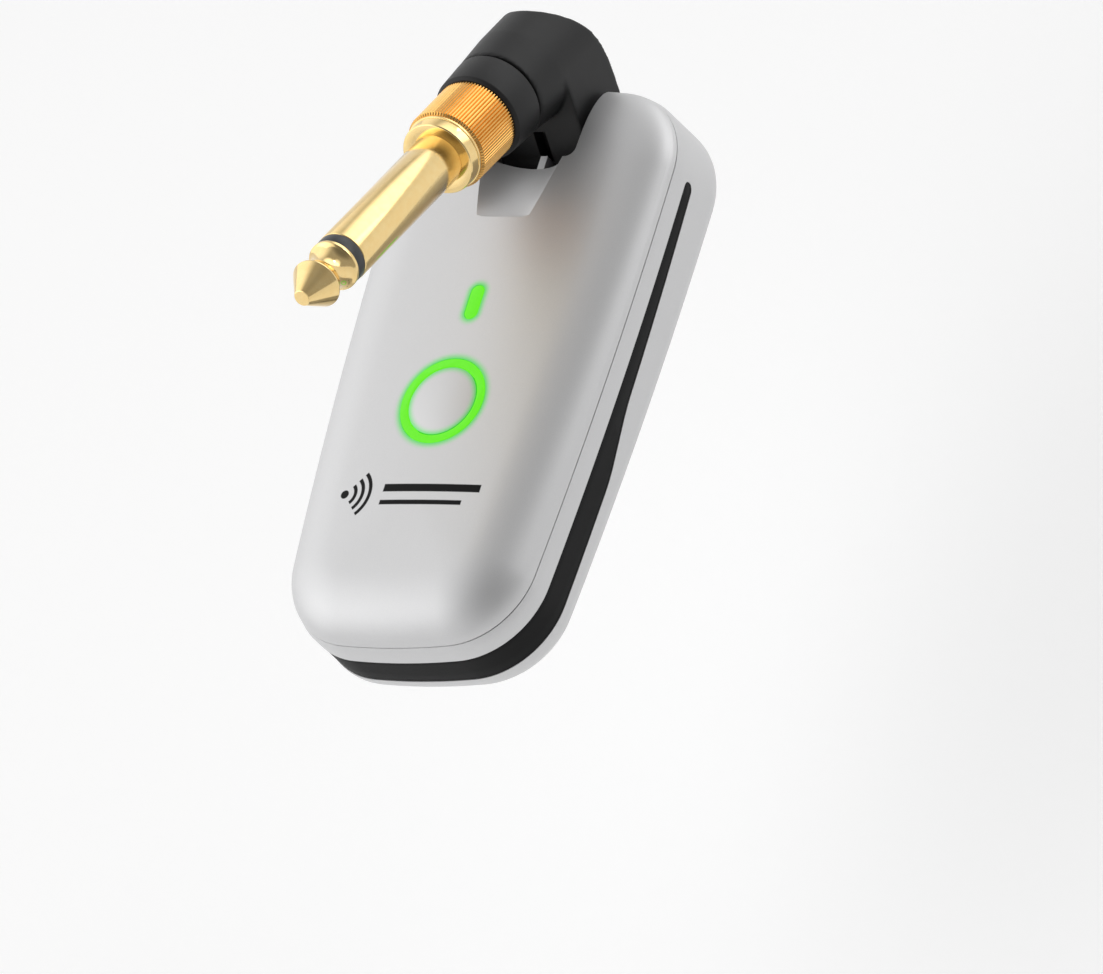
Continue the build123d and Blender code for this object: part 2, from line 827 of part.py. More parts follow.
save("rod_insulator_tube", round_profile([
    (-tail_length - tube_overhang, rod_radius), (-tail_length - tube_overhang, tube_radius),
    (sleeve_length, tube_radius), (sleeve_length, rod_radius),
]))

with BuildPart() as nut:
    nut_u = groove_u - elbow_wall
    with BuildSketch(Plane(origin=plug_side.from_local_coords(Vector(nut_u, 0)),
                           x_dir=(1, 0, 0), z_dir=plug_dir)):
        RegularPolygon(nut_radius, 6)
        Circle(tail_bore, mode=Mode.SUBTRACT)
    extrude(amount=-nut_thickness)
save("plug_nut", nut.part)

# ---------------------------------------------------------------- leads through the hinge

lead_start_u = -tail_length - rod_overhang
with BuildPart() as plug_lead:
    with BuildLine() as route:
        FilletPolyline(
            plug_side.from_local_coords(Vector(lead_start_u, 0, 0)),
            plug_side.from_local_coords(Vector(hinge_u, 0, 0)),
            plug_side.from_local_coords(Vector(hinge_u, hinge_v, 0)),
            hinge_point + Vector(pin_end, 0, 0),
            radius=lead_bend,
        )
    with BuildSketch(Plane(origin=route.line @ 0, z_dir=route.line % 0)):
        Circle(lead_radius)
    sweep()
save("plug_lead", plug_lead.part)

with BuildPart() as board_lead:
    with BuildLine() as route:
        lead_start = hinge_point + Vector(pin_end + fit_gap, 0, 0)
        lead_height = board_top + lead_radius
        FilletPolyline(
            lead_start,
            lead_start + Vector(lead_out, 0, 0),
            (lead_start.X + lead_out, lead_board_y, lead_height),
            (lead_board_x, lead_board_y, lead_height),
            radius=lead_bend,
        )
    with BuildSketch(Plane(origin=route.line @ 0, z_dir=route.line % 0)):
        Circle(lead_radius)
    sweep()
save("board_lead", board_lead.part)
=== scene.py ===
import json
import math

import bmesh
import bpy
from mathutils import Matrix, Vector
from mathutils.geometry import intersect_sphere_sphere_2d


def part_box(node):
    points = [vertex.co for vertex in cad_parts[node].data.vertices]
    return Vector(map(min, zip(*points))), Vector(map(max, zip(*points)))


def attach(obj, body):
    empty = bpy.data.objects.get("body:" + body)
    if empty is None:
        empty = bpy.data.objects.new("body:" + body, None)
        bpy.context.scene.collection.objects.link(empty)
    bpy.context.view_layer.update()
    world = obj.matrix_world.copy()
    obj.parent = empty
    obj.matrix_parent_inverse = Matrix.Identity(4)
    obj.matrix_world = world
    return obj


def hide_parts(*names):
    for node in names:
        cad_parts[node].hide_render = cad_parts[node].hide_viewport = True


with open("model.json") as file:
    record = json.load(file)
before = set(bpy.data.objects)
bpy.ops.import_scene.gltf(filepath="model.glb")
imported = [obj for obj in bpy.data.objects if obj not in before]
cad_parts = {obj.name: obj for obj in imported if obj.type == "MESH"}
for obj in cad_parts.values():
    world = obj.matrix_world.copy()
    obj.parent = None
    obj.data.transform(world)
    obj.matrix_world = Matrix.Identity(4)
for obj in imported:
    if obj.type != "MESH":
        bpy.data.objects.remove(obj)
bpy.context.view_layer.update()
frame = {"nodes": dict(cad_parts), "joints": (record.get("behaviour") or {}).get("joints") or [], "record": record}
scene = bpy.context.scene


# ---- Camera, studio light and floor -----------------------------------------------------------
# A parallel view from above the front right corner of the casing. The room is a pale sky with one
# broad soft window on the left and a dark side behind the camera, and the floor lies well below.

view_from = Vector((0.5623, -0.4137, 0.7158))
view_up = Vector((0.0, 0.8657, 0.5003))
aim = Vector((0.01032, -0.01172, 0.00719))
view_width = 0.12606
camera_distance = 0.5
floor_drop = 0.06

across = view_up.cross(view_from).normalized()
turn = Matrix((across, view_from.cross(across), view_from)).transposed().to_4x4()
camera_data = bpy.data.cameras.new("camera")
camera_data.type = "ORTHO"
camera_data.ortho_scale = view_width
camera = bpy.data.objects.new("camera", camera_data)
camera.matrix_world = Matrix.Translation(aim + view_from * camera_distance) @ turn
scene.collection.objects.link(camera)
scene.camera = camera
scene.view_settings.view_transform = "Standard"


class Value:
    """One output of a shader node. Working with it as with a number adds the Math nodes for it."""

    def __init__(self, tree, socket):
        self.tree = tree
        self.socket = socket

    def math(self, operation, *others):
        made = self.tree.nodes.new("ShaderNodeMath")
        made.operation = operation
        for socket, value in zip(made.inputs, (self, *others)):
            plug(self.tree, socket, value)
        return Value(self.tree, made.outputs[0])

    def __add__(self, other):
        return self.math("ADD", other)

    def __sub__(self, other):
        return self.math("SUBTRACT", other)

    def __rsub__(self, other):
        return self.math("MULTIPLY_ADD", -1.0, other)

    def __mul__(self, other):
        return self.math("MULTIPLY", other)

    def __pow__(self, other):
        return self.math("POWER", other)

    def __abs__(self):
        return self.math("ABSOLUTE")

    def __gt__(self, other):
        return self.math("GREATER_THAN", other)

    __radd__ = __add__
    __rmul__ = __mul__


def plug(tree, socket, value):
    """Links a Value to a socket, or sets the socket to a plain number or colour."""
    if isinstance(value, Value):
        tree.links.new(value.socket, socket)
    else:
        socket.default_value = value


def add_node(tree, kind, settings=None, inputs=None, output=0):
    """Any node but Math: its settings are made first, then its sockets are filled by name or number."""
    made = tree.nodes.new("ShaderNode" + kind)
    for name, value in (settings or {}).items():
        if name == "stops":
            ramp = made.color_ramp.elements
            for place, colour in value[2:]:
                ramp.new(place)
            for element, (place, colour) in zip(ramp, value):
                element.position = place
                element.color = colour
        else:
            setattr(made, name, value)
    for name, value in (inputs or {}).items():
        plug(tree, made.inputs[name], value)
    return Value(tree, made.outputs[output])


world = bpy.data.worlds.new("studio")
world.use_nodes = True
scene.world = world
room = world.node_tree
toward = add_node(room, "TexCoord", output="Generated")


def glow(direction, inner, outer):
    """How far a direction lies inside a soft round window, from 0 outside it to 1 inside."""
    facing = add_node(room, "VectorMath", {"operation": "DOT_PRODUCT"},
                      {0: toward, 1: Vector(direction).normalized()}, output="Value")
    return add_node(room, "MapRange", {"interpolation_type": "SMOOTHSTEP"},
                    {"Value": facing, "From Min": math.cos(math.radians(outer)),
                     "From Max": math.cos(math.radians(inner))})


light = 0.38 + 0.95 * glow((-0.92, 0.15, 0.32), 18, 72)
light = light + 0.55 * glow((-0.45, -0.88, 0.3), 12, 58)
light = light + 0.8 * glow((0.8, 0.5, 0.34), 5, 22)
light = light + 1.3 * glow((0.78, 0.62, 0.08), 5, 22)
light = light + 1.5 * glow((0.25, 0.95, 0.12), 10, 36)
light = light - 0.22 * glow((0.35, -0.4, 0.85), 8, 42)
background = room.nodes["Background"]
plug(room, background.inputs["Color"], add_node(room, "CombineColor", {}, {0: light, 1: light, 2: light}))
background.inputs["Strength"].default_value = 1.0

for name, place, size, watts in (
    ("key_light", (-0.28, -0.22, 0.42), 0.5, 0.45),
    ("rim_light", (0.30, 0.34, 0.26), 0.10, 0.15),
):
    lamp_data = bpy.data.lights.new(name, "AREA")
    lamp_data.size = size
    lamp_data.energy = watts
    lamp = bpy.data.objects.new(name, lamp_data)
    lamp.location = place
    lamp.rotation_euler = (aim - lamp.location).to_track_quat("-Z", "Y").to_euler()
    scene.collection.objects.link(lamp)

floor_mesh = bmesh.new()
bmesh.ops.create_grid(floor_mesh, x_segments=1, y_segments=1, size=3.0)
bmesh.ops.translate(floor_mesh, vec=(0, 0, -floor_drop), verts=floor_mesh.verts)
floor_data = bpy.data.meshes.new("floor")
floor_mesh.to_mesh(floor_data)
floor_mesh.free()
floor = bpy.data.objects.new("floor", floor_data)
scene.collection.objects.link(floor)
# The floor glows a little, brightest round a point to the left of the object: painted light that lifts the
# object's shadow and keeps the background pale.
floor_paint = bpy.data.materials.new("floor_white")
floor_paint.use_nodes = True
floor_shader = floor_paint.node_tree.nodes["Principled BSDF"]
floor_shader.inputs["Roughness"].default_value = 0.9
floor_shader.inputs["Specular IOR Level"].default_value = 0.1
floor_shader.inputs["Emission Strength"].default_value = 0.21
floor_place = add_node(floor_paint.node_tree, "TexCoord", output="Object")
lit_middle = add_node(floor_paint.node_tree, "VectorMath", {"operation": "DISTANCE"},
                      {0: floor_place, 1: (-0.045, 0.015, -floor_drop)}, output="Value")
pale = add_node(floor_paint.node_tree, "ValToRGB",
                {"stops": ((0.105, (0.90, 0.90, 0.90, 1)), (0.3, (0.84, 0.84, 0.84, 1)))}, {0: lit_middle})
plug(floor_paint.node_tree, floor_shader.inputs["Base Color"], pale)
plug(floor_paint.node_tree, floor_shader.inputs["Emission Color"], pale)
floor_data.materials.append(floor_paint)


# ---- Rear housing -----------------------------------------------------------------------------
# The deep back shell of the casing: moulded ABS with a satin silver coat. Its wall rises from a
# rounded back to a bevelled rim under the seam, with a notch for the hinge and a groove for the trim.

mm = 0.001
rear_low, rear_high = (Vector(c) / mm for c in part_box("rear_housing"))
cover_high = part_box("front_cover")[1] / mm
trim_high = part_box("side_trim")[1] / mm

half_length = -rear_low.y
bottom_half_width = 16.0
top_half_width = 18.95
side_bow = 1.0
end_bow = 1.5
corner_radius = 10.3
rear_draft_bottom = 0.3
rear_draft_top = 1.5
rear_reach = rear_high.y - half_length
rear_dome_rise = 5.2
dome_run = 8.0
seam_height = 13.54
seam_slope = math.tan(math.radians(1.8))
reveal = 0.3
bevel_height = 1.2
wall = 1.8
inner_run = 7.1
dome_steps = 14
hinge_centre = Vector((0, frame["joints"][0]["pos_m"][1], frame["joints"][0]["pos_m"][2])) / mm
half_notch = 6.9
notch_corner = 1.2
notch_floor_y = 25.7
ear_wall = 1.5


def circle_through(a, b, c):
    """Centre and radius of the circle through three points."""
    turned = (b - a).orthogonal()
    level = (c - b).orthogonal()
    gap = (c - a) / 2
    share = gap.cross(level) / turned.cross(level)
    centre = (a + b) / 2 + turned * share
    return centre, (centre - a).length


def casing_outline(low, high, bottom, top):
    """The casing's outline: (point, outward direction) pairs, anticlockwise. Bowed sides and ends
    meet in round corners. low and high are the half widths at the bottom and top ends."""
    low_corner = Vector((low, bottom + end_bow))
    high_corner = Vector((high, top - end_bow))
    side = circle_through(low_corner, Vector(((low + high) / 2 + side_bow, 0)), high_corner)
    bottom_end = circle_through(low_corner, Vector((0, bottom)), Vector((-low, low_corner.y)))
    top_end = circle_through(high_corner, Vector((0, top)), Vector((-high, high_corner.y)))
    arcs = []
    turn_from = -math.pi / 2
    for end, steps in ((bottom_end, 1), (top_end, -1)):
        centres = intersect_sphere_sphere_2d(side[0], side[1] - corner_radius,
                                             end[0], end[1] - corner_radius)
        corner = max(centres, key=lambda point: point.x)
        at_end = math.atan2(*(corner - end[0]).yx)
        at_side = math.atan2(*(corner - side[0]).yx)
        arcs.append((end, corner, at_end, at_side))
    low_arc, high_arc = arcs
    stretches = (
        (bottom_end, turn_from, low_arc[2], 7),
        ((low_arc[1], corner_radius), low_arc[2], low_arc[3], 20),
        (side, low_arc[3], high_arc[3], 26),
        ((high_arc[1], corner_radius), high_arc[3], high_arc[2], 20),
        (top_end, high_arc[2], math.pi / 2, 7),
    )
    right = []
    for (centre, radius), start, end, steps in stretches:
        for step in range(steps):
            angle = start + (end - start) * step / steps
            direction = Vector((math.cos(angle), math.sin(angle)))
            right.append((centre + direction * radius, direction))
    right.append((Vector((0, top)), Vector((0, 1))))
    left = [(Vector((-p.x, p.y)), Vector((-d.x, d.y))) for p, d in reversed(right[1:-1])]
    return right + left


rear_outline = casing_outline(bottom_half_width - rear_draft_bottom, top_half_width - rear_draft_top,
                              -half_length, half_length + rear_reach)
seam_outline = casing_outline(bottom_half_width, top_half_width, -half_length, half_length)


def seam_z(y):
    return seam_height + y * seam_slope


def add_ring(shape, outline, inset, height):
    """A ring of corners: the outline pulled in by inset, at a height that may vary with y."""
    points = [point - direction * inset for point, direction in outline]
    return [shape.verts.new((p.x, p.y, height(p.y))) for p in points]


def wall_ring(shape, inset, rise):
    """A ring of the side wall, from the rear outline (rise 0) to the outline at the seam (rise 1)."""
    verts = []
    for (rear, rear_out), (front, front_out) in zip(rear_outline, seam_outline):
        low = Vector((*(rear - rear_out * inset), rear_dome_rise))
        point = front - front_out * inset
        high = Vector((*point, seam_z(point.y)))
        verts.append(shape.verts.new(low.lerp(high, rise)))
    return verts


def join_rings(shape, rings, closed=False, caps=True):
    """Skins each ring to the next, then caps both ends or closes the skin on itself."""
    pairs = list(zip(rings, rings[1:]))
    if closed:
        pairs.append((rings[-1], rings[0]))
    for one, other in pairs:
        for a, b, c, d in zip(one, one[1:] + one[:1], other[1:] + other[:1], other):
            shape.faces.new((a, b, c, d))
    if caps and not closed:
        shape.faces.new(rings[0])
        shape.faces.new(rings[-1])


def loose_object(name, shape):
    """An unfinished shape in millimetres as an object, for cutting with."""
    bmesh.ops.remove_doubles(shape, verts=shape.verts, dist=0.0005)
    bmesh.ops.recalc_face_normals(shape, faces=shape.faces)
    data = bpy.data.meshes.new(name)
    shape.to_mesh(data)
    shape.free()
    made = bpy.data.objects.new(name, data)
    scene.collection.objects.link(made)
    return made


def bake_modifiers(piece):
    """Applies a piece's modifiers to its mesh."""
    evaluated = piece.evaluated_get(bpy.context.evaluated_depsgraph_get())
    old = piece.data
    piece.data = bpy.data.meshes.new_from_object(evaluated)
    piece.modifiers.clear()
    bpy.data.meshes.remove(old)


def carve(piece, tool, operation="DIFFERENCE"):
    """Cuts a piece with a tool, or joins or overlaps the two, and clears the tool away."""
    cut = piece.modifiers.new("cut", "BOOLEAN")
    cut.operation = operation
    cut.object = tool
    bake_modifiers(piece)
    bpy.data.objects.remove(tool)
    return piece


def block(name, low, high, round_edges=None, radius=0.0, segments=8):
    """A box between two corners. round_edges picks the edges that are rounded."""
    shape = bmesh.new()
    size = Vector(high) - Vector(low)
    bmesh.ops.create_cube(shape, size=1.0, matrix=Matrix.Translation((Vector(high) + Vector(low)) / 2)
                          @ Matrix.Diagonal((*size, 1)))
    if round_edges:
        edges = [edge for edge in shape.edges if round_edges(*(v.co for v in edge.verts))]
        bmesh.ops.bevel(shape, geom=edges, offset=radius, offset_type="OFFSET", affect="EDGES",
                        segments=segments, profile=0.5, material=-1)
    return loose_object(name, shape)


def notch_block(name, grow):
    """The notch between the ears, or the notch with its walls."""
    low_y = notch_floor_y - grow

    def at_floor(a, b):
        return abs(a.x - b.x) < 0.1 and abs(a.y - low_y) < 0.01 and abs(b.y - low_y) < 0.01

    return block(name, (-half_notch - grow, low_y, -2), (half_notch + grow, half_length + 12, 22),
                 at_floor, notch_corner + grow, 10)


edge_sharpness = math.radians(32)
shading_angle = math.radians(26)


def finish_piece(piece, name, finish, body, replaces, edge=0.0, crease=shading_angle):
    """Scales a piece from millimetres, rounds its edges a little, smooths it and sets it on its body."""
    piece.name = name
    piece.data.name = name
    if edge:
        rounding = piece.modifiers.new("edges", "BEVEL")
        rounding.width = edge
        rounding.segments = 2
        rounding.limit_method = "ANGLE"
        rounding.angle_limit = edge_sharpness
        bake_modifiers(piece)
    piece.data.transform(Matrix.Scale(mm, 4))
    piece.data.materials.clear()
    piece.data.materials.append(finish)
    piece.data.polygons.foreach_set("material_index", [0] * len(piece.data.polygons))
    piece.data.polygons.foreach_set("use_smooth", [True] * len(piece.data.polygons))
    piece.data.set_sharp_from_angle(angle=crease)
    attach(piece, body)
    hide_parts(*replaces)
    return piece


class Finish:
    """A material in the making. Plain numbers go on its shader, and Values are linked to it."""

    def __init__(self, name, colour, roughness, metallic=0.0, **fixed):
        self.material = bpy.data.materials.new(name)
        self.material.use_nodes = True
        self.tree = self.material.node_tree
        self.shader = self.tree.nodes["Principled BSDF"]
        self.place = add_node(self.tree, "TexCoord", output="Object")
        self.set(Base_Color=(*colour, 1), Roughness=roughness, Metallic=metallic, **fixed)

    def set(self, **sockets):
        for name, value in sockets.items():
            plug(self.tree, self.shader.inputs[name.replace("_", " ")], value)

    def colour(self):
        """What its base colour is linked to now."""
        return Value(self.tree, self.shader.inputs["Base Color"].links[0].from_socket)

    def noise(self, scale, detail=2.0):
        return add_node(self.tree, "TexNoise", {}, {"Vector": self.place, "Scale": scale,
                                                    "Detail": detail})

    def along(self):
        """The object's x, y and z as three Values, in metres."""
        split = self.tree.nodes.new("ShaderNodeSeparateXYZ")
        plug(self.tree, split.inputs[0], self.place)
        return [Value(self.tree, socket) for socket in split.outputs]

    def mix(self, share, one, other):
        return add_node(self.tree, "Mix", {"data_type": "RGBA"}, {0: share, 6: one, 7: other}, output=2)

    def bump(self, height, strength, distance):
        self.set(Normal=add_node(self.tree, "Bump", {}, {"Height": height, "Strength": strength,
                                                         "Distance": distance}))

    def soft_step(self, value, start, end):
        """0 where a value is below start and 1 above end, or the other way round."""
        return add_node(self.tree, "MapRange", {"interpolation_type": "SMOOTHSTEP"},
                        {"Value": value, "From Min": start, "From Max": end})


def silver_paint(name):
    """Satin silver coat: fine aluminium flake under a thin clear layer, with a trace of orange peel."""
    paint = Finish(name, (0.66, 0.66, 0.665), 0.4, metallic=0.85, Coat_Weight=0.1, Coat_Roughness=0.35)
    flake = paint.noise(14000.0, 1.0)
    peel = paint.noise(900.0, 2.0)
    paint.set(Base_Color=paint.mix(flake, (0.59, 0.59, 0.597, 1), (0.69, 0.69, 0.693, 1)),
              Roughness=0.48 + 0.08 * flake + 0.03 * peel)
    paint.bump(flake * 0.5 + peel, 0.12, 0.00002)
    return paint


casing_paint = silver_paint("silver_paint")

shape = bmesh.new()
rings = []
for step in range(dome_steps + 1):
    angle = math.radians(90) * (1 - step / dome_steps)
    height = rear_dome_rise * (1 - math.sin(angle))
    rings.append(add_ring(shape, rear_outline, dome_run * (1 - math.cos(angle)), lambda y, z=height: z))
for rise in (0.25, 0.5, 0.75):
    rings.append(wall_ring(shape, 0.0, rise))
rim_share = bevel_height / (seam_height - rear_dome_rise)
rings.append(wall_ring(shape, 0.0, 1 - rim_share))
rings.append(wall_ring(shape, reveal * 0.45, 1 - rim_share * 0.45))
rings.append(wall_ring(shape, reveal, 1.0))
join_rings(shape, rings)
housing = loose_object("rear_housing_shell", shape)

shape = bmesh.new()
rings = []
for step in range(7):
    angle = math.radians(90) * (1 - step / 6)
    height = rear_dome_rise + (wall - rear_dome_rise) * math.sin(angle)
    rings.append(add_ring(shape, rear_outline, wall + inner_run * (1 - math.cos(angle)),
                          lambda y, z=height: z))
rings.append(wall_ring(shape, wall, 1.0))
rings.append(add_ring(shape, seam_outline, wall, lambda y: seam_z(y) + 3))
join_rings(shape, rings)
inside = loose_object("housing_space", shape)
carve(inside, notch_block("walls", ear_wall))
carve(housing, inside)
carve(housing, notch_block("notch", 0.0))

port_centre = Vector((0, frame["record"]["mounts"][2]["pos_m"][1] / mm, 0))
port_half = Vector((4.57, 1.7, 0))
port_low = port_centre - port_half
port_high = port_centre + port_half


def upright(a, b):
    return abs(a.z - b.z) > 1


carve(housing, block("port_hole", (port_low.x, port_low.y, -1), (port_high.x, port_high.y, wall + 1),
                     upright, 1.3, 6))

trim_top = trim_high.y
trim_recess = 0.08
trim_depth = 0.8
trim_drop = 2.8
trim_slim, trim_middle, trim_broad = 1.9, 2.7, 4.25
trim_step_top, trim_step_bottom = -1.7, -10.2
trim_side_points = (
    (-half_length - 2, trim_drop), (trim_top, trim_drop), (trim_top, trim_drop + trim_slim),
    (trim_step_top, trim_drop + trim_middle), (trim_step_bottom, trim_drop + trim_broad),
    (-half_length - 2, trim_drop + trim_broad),
)


def trim_prism(name, grow):
    """The trim's shape seen from the side, right across the body."""
    shape = bmesh.new()
    points = [Vector((-25, y, seam_z(y) - drop)) for y, drop in trim_side_points]
    verts = [shape.verts.new(p) for p in points]
    face = shape.faces.new(verts)
    bmesh.ops.bevel(shape, geom=verts[3:5], offset=1.6, affect="VERTICES", segments=6, profile=0.5,
                    material=-1)
    tips = [v for v in shape.verts if abs(v.co.y - trim_top) < 0.01]
    bmesh.ops.bevel(shape, geom=tips, offset=0.85, affect="VERTICES", segments=6, profile=0.5,
                    material=-1)
    if grow:
        bmesh.ops.inset_region(shape, faces=shape.faces[:], thickness=-grow, use_even_offset=True,
                               use_boundary=True)
        bmesh.ops.dissolve_faces(shape, faces=shape.faces[:])
    swept = bmesh.ops.extrude_face_region(shape, geom=shape.faces[:])
    moved = [g for g in swept["geom"] if isinstance(g, bmesh.types.BMVert)]
    bmesh.ops.translate(shape, vec=(50, 0, 0), verts=moved)
    return loose_object(name, shape)


def wall_layer(name, outer, inner):
    """A layer of the side wall between two depths."""
    shape = bmesh.new()
    rises = (0.0, 0.25, 0.5, 0.75, 1.0)
    rings = [wall_ring(shape, outer, rise) for rise in rises]
    rings += [wall_ring(shape, inner, rise) for rise in reversed(rises)]
    join_rings(shape, rings, closed=True)
    return loose_object(name, shape)


groove = carve(wall_layer("groove", -1.0, trim_depth + 0.05), trim_prism("groove_view", 0.05), "INTERSECT")
carve(housing, groove)

rib = block("rib", (-0.475, notch_floor_y - 0.7, 9.55), (0.475, notch_floor_y + 2.2, 14.2))
carve(housing, rib, "UNION")
shape = bmesh.new()
bmesh.ops.create_cone(shape, cap_ends=True, segments=48, radius1=2.65, radius2=2.65, depth=20,
                      matrix=Matrix.Translation(hinge_centre) @ Matrix.Rotation(math.pi / 2, 4, "Y"))
carve(housing, loose_object("bush_holes", shape))
finish_piece(housing, "rear_housing_painted", casing_paint.material, "case", ["rear_housing"],
             edge=0.12)


# ---- Side trim --------------------------------------------------------------------------------
# A matte black band of grained plastic set in a groove round the bottom end, broad at the bottom
# and slim up both sides, pressed in and held by its fit.

trim_black = Finish("trim_black", (0.007, 0.007, 0.0073), 0.5, Specular_IOR_Level=0.12)
grain = trim_black.noise(7000.0, 3.0)
trim_black.set(Roughness=0.46 + 0.2 * grain,
               Base_Color=trim_black.mix(grain, (0.005, 0.005, 0.0053, 1), (0.010, 0.010, 0.0104, 1)))
trim_black.bump(grain, 0.35, 0.00003)
trim = carve(wall_layer("trim_layer", trim_recess, trim_depth), trim_prism("trim_view", 0.0), "INTERSECT")
finish_piece(trim, "side_trim_band", trim_black.material, "case", ["side_trim"], edge=0.1)


# ---- Front cover ------------------------------------------------------------------------------
# The domed front shell, moulded and coated like the housing and snapped on to it. It has a
# trough that clears the folded elbow, a round hole for the button and its ring, and a slot for the
# bar light. A faint green glow from the lit ring and bar is painted on the coat beside them.

front = cover_high.z
crown = 0.35
cover_crease = math.radians(9.6)
dome_turn = math.radians(84)
button_y = (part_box("power_button")[0].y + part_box("power_button")[1].y) / 2 / mm
ring_radius = 5.53
ring_width = 0.99
bar_low, bar_high = (Vector(c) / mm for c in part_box("bar_light_lens"))
bar_y = (bar_low.y + bar_high.y) / 2
bar_half_width = 0.875
bar_half_length = 2.2
spine_reach = 18.5


def crown_z(share):
    """Height of the front face, from the top of the dome (share 0) to its middle line (share 1)."""
    return front - crown * (1 - share) ** 2


def add_dome(shape, outline, base_inset, run, base, top, turn, steps):
    """Rings that rise from the seam and curve over, a quarter ellipse in section up to turn."""
    made = []
    full = (top - base) / math.sin(turn)
    for step in range(steps + 1):
        angle = turn * step / steps
        inset = base_inset + run * (1 - math.cos(angle))
        part = full * math.sin(angle) / (top - base)
        made.append(add_ring(shape, outline, inset,
                             lambda y, part=part: seam_z(y) + (top - seam_z(y)) * part))
    return made


shape = bmesh.new()
seam_groove = 0.2
rings = [add_ring(shape, seam_outline, reveal + seam_groove, seam_z)]
rings += add_dome(shape, seam_outline, reveal, dome_run, seam_height, front - crown, dome_turn, dome_steps)
for vert in rings[1]:
    vert.co.z += seam_groove
rim_points = [vert.co.copy() for vert in rings[-1]]
for share in (0.15, 0.32, 0.5, 0.68, 0.84, 1.0):
    verts = []
    for point in rim_points:
        spine = Vector((0, max(-spine_reach, min(spine_reach, point.y)), 0))
        flat = Vector((point.x, point.y, 0)).lerp(spine, share)
        verts.append(shape.verts.new((flat.x, flat.y, crown_z(share))))
    rings.append(verts)
join_rings(shape, rings, caps=False)
shape.faces.new(rings[0])
cover = loose_object("front_cover_shell", shape)

shape = bmesh.new()
rings = add_dome(shape, seam_outline, wall + 1.1, 6.5, seam_height, front - wall - 0.3, math.radians(90), 6)
rings.insert(0, add_ring(shape, seam_outline, wall + 1.1, lambda y: seam_z(y) - 3))
join_rings(shape, rings)
inside = loose_object("cover_space", shape)
carve(inside, notch_block("cover_walls", ear_wall))
carve(inside, block("behind_scoop", (-half_notch - ear_wall, notch_floor_y - 9.6, 0),
                    (half_notch + ear_wall, notch_floor_y + 1, 30)))
carve(cover, inside)

shape = bmesh.new()
lip = [add_ring(shape, seam_outline, wall + 0.3, lambda y: seam_z(y) + 0.1),
       add_ring(shape, seam_outline, wall + 0.3, lambda y: seam_z(y) - 1.2),
       add_ring(shape, seam_outline, wall + 1.1, lambda y: seam_z(y) - 1.2),
       add_ring(shape, seam_outline, wall + 1.1, lambda y: seam_z(y) + 0.1)]
join_rings(shape, lip, closed=True)
lip_ring = carve(loose_object("lip", shape), notch_block("lip_notch", ear_wall + 0.3))
carve(cover, lip_ring, "UNION")
carve(cover, notch_block("cover_notch", 0.0))

scoop_length = 7.84
scoop_start = (3.8, 0.36)
scoop_end = (5.6, 3.2)
scoop_steps = 14
shape = bmesh.new()
rings = []
for step in range(-2, scoop_steps + 1):
    share = max(step, 0) / (scoop_steps - 1)
    before = min(step, 0)
    half_width = scoop_start[0] + (scoop_end[0] - scoop_start[0]) * share + 0.3 * before
    depth = scoop_start[1] + (scoop_end[1] - scoop_start[1]) * share + 0.12 * before
    y = notch_floor_y - scoop_length * (1 - share) - 0.06 * before ** 2
    radius = (half_width ** 2 + depth ** 2) / (2 * depth)
    sweep = math.asin(half_width / radius)
    verts = []
    for turn_step in range(25):
        angle = sweep * (turn_step / 12 - 1)
        verts.append(shape.verts.new((radius * math.sin(angle), y,
                                      front + radius - depth - radius * math.cos(angle))))
    verts.append(shape.verts.new((half_width, y, front + 3)))
    verts.append(shape.verts.new((-half_width, y, front + 3)))
    rings.append(verts)
join_rings(shape, rings)
carve(cover, loose_object("scoop", shape))


def disc_block(name, y, radius, low, high, segments=96):
    shape = bmesh.new()
    bmesh.ops.create_cone(shape, cap_ends=True, segments=segments, radius1=radius, radius2=radius,
                          depth=high - low, matrix=Matrix.Translation((0, y, (low + high) / 2)))
    return loose_object(name, shape)


def bar_block(name, grow, low, high):
    def at_ends(a, b):
        return abs(a.z - b.z) > 0.5

    return block(name, (-bar_half_width - grow, bar_y - bar_half_length - grow, low),
                 (bar_half_width + grow, bar_y + bar_half_length + grow, high),
                 at_ends, bar_half_width + grow - 0.01, 12)


light_gap = 0.05
carve(cover, disc_block("button_hole", button_y, ring_radius + light_gap, front - 4, front + 1))
carve(cover, bar_block("bar_slot", light_gap, front - 4, front + 1))


def add_painted_green_light(paint, base, strength):
    """Painted green light round the ring and the bar, in the coat's colour and glow, which fades within a
    millimetre or so.
    """
    x, y, z = paint.along()
    from_button = (x ** 2.0 + (y - button_y * mm) ** 2.0) ** 0.5
    ring_gap = abs(from_button - (ring_radius - ring_width / 2) * mm) - ring_width / 2 * mm
    past_end = (abs(y - bar_y * mm) - (bar_half_length - bar_half_width) * mm).math("MAXIMUM", 0.0)
    bar_gap = (x ** 2.0 + past_end ** 2.0) ** 0.5 - bar_half_width * mm
    near = ring_gap.math("MINIMUM", bar_gap)
    # Painted light: the green glow of the ring and bar, mixed into the coat's colour and emission.
    painted_green_light = (paint.soft_step(near, 1.15 * mm, -0.1 * mm) ** 1.5) * (z > (front - 1.5) * mm)
    paint.set(Base_Color=paint.mix(0.9 * painted_green_light, base, (0.07, 0.52, 0.10, 1)), Emission_Strength=strength,
              Emission_Color=paint.mix(painted_green_light, (0, 0, 0, 1), (0.02, 0.40, 0.02, 1)))




